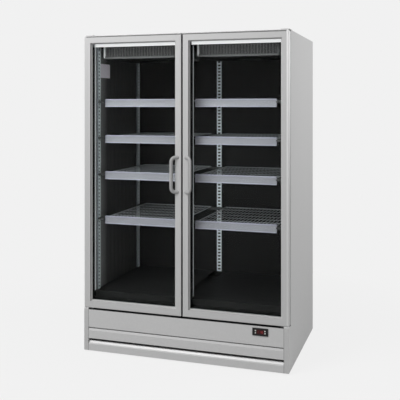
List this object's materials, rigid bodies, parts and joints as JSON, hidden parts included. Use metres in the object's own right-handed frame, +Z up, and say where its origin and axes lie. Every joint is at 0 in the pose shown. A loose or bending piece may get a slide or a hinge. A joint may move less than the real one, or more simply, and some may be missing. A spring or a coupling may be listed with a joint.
{
  "type": "upright glass door display refrigerator",
  "caption": "Upright grey commercial display refrigerator with glass hinged doors, wire shelves with price rails, top evaporators and a machine compartment in the base.",
  "frame": {"origin": "on the floor under the middle of the overall box", "axes": "+X to the right as seen from the front, +Y to the back, +Z up"},
  "size_m": [1.31, 0.902, 2],
  "materials": {
    "body_paint": "satin",
    "panel_zinc": "satin",
    "insulation": "matte",
    "liner_dark": "gloss",
    "trim_dark": "matte",
    "lamp_white": "gloss",
    "standard_zinc": "satin",
    "shelf_wire": "satin",
    "rail_plastic": "satin",
    "cover_dark": "satin",
    "fin_aluminium": "satin",
    "copper": "satin",
    "machine_black": "satin",
    "machine_plastic": "matte",
    "controller_black": "gloss",
    "display_red": "gloss",
    "key_pale": "satin",
    "hinge_steel": "satin",
    "door_paint": "satin",
    "glass": "gloss",
    "seal_black": "matte",
    "spacer_aluminium": "satin",
    "gasket_grey": "matte",
    "bush_nylon": "satin",
    "foot_black": "matte"
  },
  "bodies": {
    "cabinet": {"side_panel_left": "body_paint", "side_panel_right": "body_paint", "base_posts": "body_paint", "roof_panel": "body_paint", "rear_panel": "panel_zinc", "insulation_foam": "insulation", "inner_liner": "liner_dark", "front_frame": "trim_dark", "centre_mullion": "trim_dark", "light_diffuser": "lamp_white", "light_housing": "trim_dark", "shelf_standards": "standard_zinc", "price_rails": "rail_plastic", "shelf_clips": "standard_zinc", "deck_panels": "liner_dark", "shelf_1": "shelf_wire", "shelf_2": "shelf_wire", "shelf_3": "shelf_wire", "shelf_4": "shelf_wire", "evaporator_covers": "cover_dark", "evaporator_coils": "fin_aluminium", "fan_motors": "machine_black", "base_chassis": "panel_zinc", "levelling_feet": "foot_black", "base_fascia": "body_paint", "base_louvre": "body_paint", "kick_plate": "body_paint", "rear_grille": "panel_zinc", "power_inlet_gland": "foot_black", "compressor": "machine_black", "condenser_coil": "fin_aluminium", "condenser_shroud": "machine_plastic", "refrigerant_pipes": "copper", "drain_pan": "machine_plastic", "controller_bezel": "controller_black", "controller_window": "display_red", "hinge_brackets": "hinge_steel"},
    "evaporator_fan_left": {"evaporator_fan_left": "machine_plastic"},
    "evaporator_fan_right": {"evaporator_fan_right": "machine_plastic"},
    "condenser_fan": {"condenser_fan": "machine_plastic"},
    "key_upper_left": {"key_upper_left": "key_pale"},
    "key_lower_left": {"key_lower_left": "key_pale"},
    "key_upper_right": {"key_upper_right": "key_pale"},
    "key_lower_right": {"key_lower_right": "key_pale"},
    "door_left": {"door_left_frame": "door_paint", "door_left_panes": "glass", "door_left_edge_seal": "seal_black", "door_left_spacer": "spacer_aluminium", "door_left_bead": "trim_dark", "door_left_gasket": "gasket_grey", "door_left_bushes": "bush_nylon", "door_left_handle": "door_paint"},
    "door_right": {"door_right_frame": "door_paint", "door_right_panes": "glass", "door_right_edge_seal": "seal_black", "door_right_spacer": "spacer_aluminium", "door_right_bead": "trim_dark", "door_right_gasket": "gasket_grey", "door_right_bushes": "bush_nylon", "door_right_handle": "door_paint"}
  },
  "joints": [
    {"name": "door_left_hinge", "type": "hinge", "parent": "cabinet", "child": "door_left", "pos_m": [-0.641, -0.389, 1.136], "axis": [0, 0, -1], "range_deg": [0, 110]},
    {"name": "door_right_hinge", "type": "hinge", "parent": "cabinet", "child": "door_right", "pos_m": [0.641, -0.389, 1.136], "axis": [0, 0, 1], "range_deg": [0, 110]},
    {"name": "evaporator_fan_left_spin", "type": "hinge", "parent": "cabinet", "child": "evaporator_fan_left", "pos_m": [-0.3175, 0.003, 1.869], "axis": [0, 0, 1], "continuous": true},
    {"name": "evaporator_fan_right_spin", "type": "hinge", "parent": "cabinet", "child": "evaporator_fan_right", "pos_m": [0.3175, 0.003, 1.869], "axis": [0, 0, 1], "continuous": true},
    {"name": "condenser_fan_spin", "type": "hinge", "parent": "cabinet", "child": "condenser_fan", "pos_m": [-0.26, -0.264, 0.135], "axis": [0, 1, 0], "continuous": true},
    {"name": "key_upper_left_press", "type": "slide", "parent": "cabinet", "child": "key_upper_left", "axis": [0, 1, 0], "range_m": [0, 0.0008], "stiffness_N_per_m": 400},
    {"name": "key_lower_left_press", "type": "slide", "parent": "cabinet", "child": "key_lower_left", "axis": [0, 1, 0], "range_m": [0, 0.0008], "stiffness_N_per_m": 400},
    {"name": "key_upper_right_press", "type": "slide", "parent": "cabinet", "child": "key_upper_right", "axis": [0, 1, 0], "range_m": [0, 0.0008], "stiffness_N_per_m": 400},
    {"name": "key_lower_right_press", "type": "slide", "parent": "cabinet", "child": "key_lower_right", "axis": [0, 1, 0], "range_m": [0, 0.0008], "stiffness_N_per_m": 400}
  ]
}
